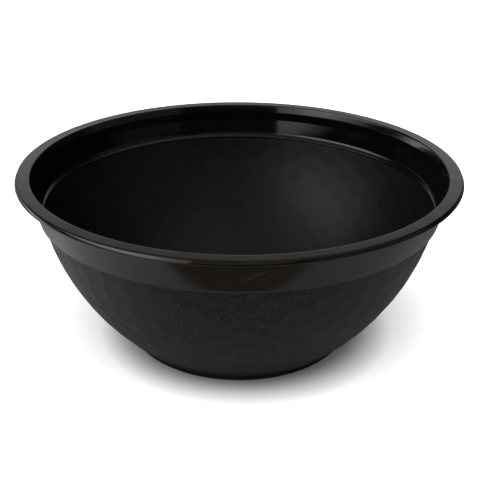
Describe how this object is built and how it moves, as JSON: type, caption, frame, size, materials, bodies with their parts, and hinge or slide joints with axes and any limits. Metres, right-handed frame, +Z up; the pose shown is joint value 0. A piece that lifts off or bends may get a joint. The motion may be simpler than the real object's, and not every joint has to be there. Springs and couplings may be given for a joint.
{
  "type": "serving bowl",
  "caption": "Round plastic serving bowl: flat lip with a short turned-down skirt, smooth collar over a small ledge, rounded dimpled wall and a low foot ring.",
  "frame": {"origin": "centre of the foot ring's underside, on the surface that the bowl stands on", "axes": "+Z up along the bowl's axis of symmetry, from the foot to the mouth; the bowl is round, so +X and +Y are any two level directions at right angles, and -Y faces the viewer"},
  "size_m": [0.3, 0.3, 0.1233],
  "materials": {
    "gloss_black": "glossy, as moulded against a polished tool",
    "satin_black": "satin, as moulded against a fine-grained tool"
  },
  "bodies": {
    "root": {"rim_lip": "gloss_black", "collar": "gloss_black", "ledge": "gloss_black", "wall_upper": "satin_black", "wall_lower": "satin_black", "foot_ring": "satin_black", "base": "satin_black"}
  },
  "joints": []
}
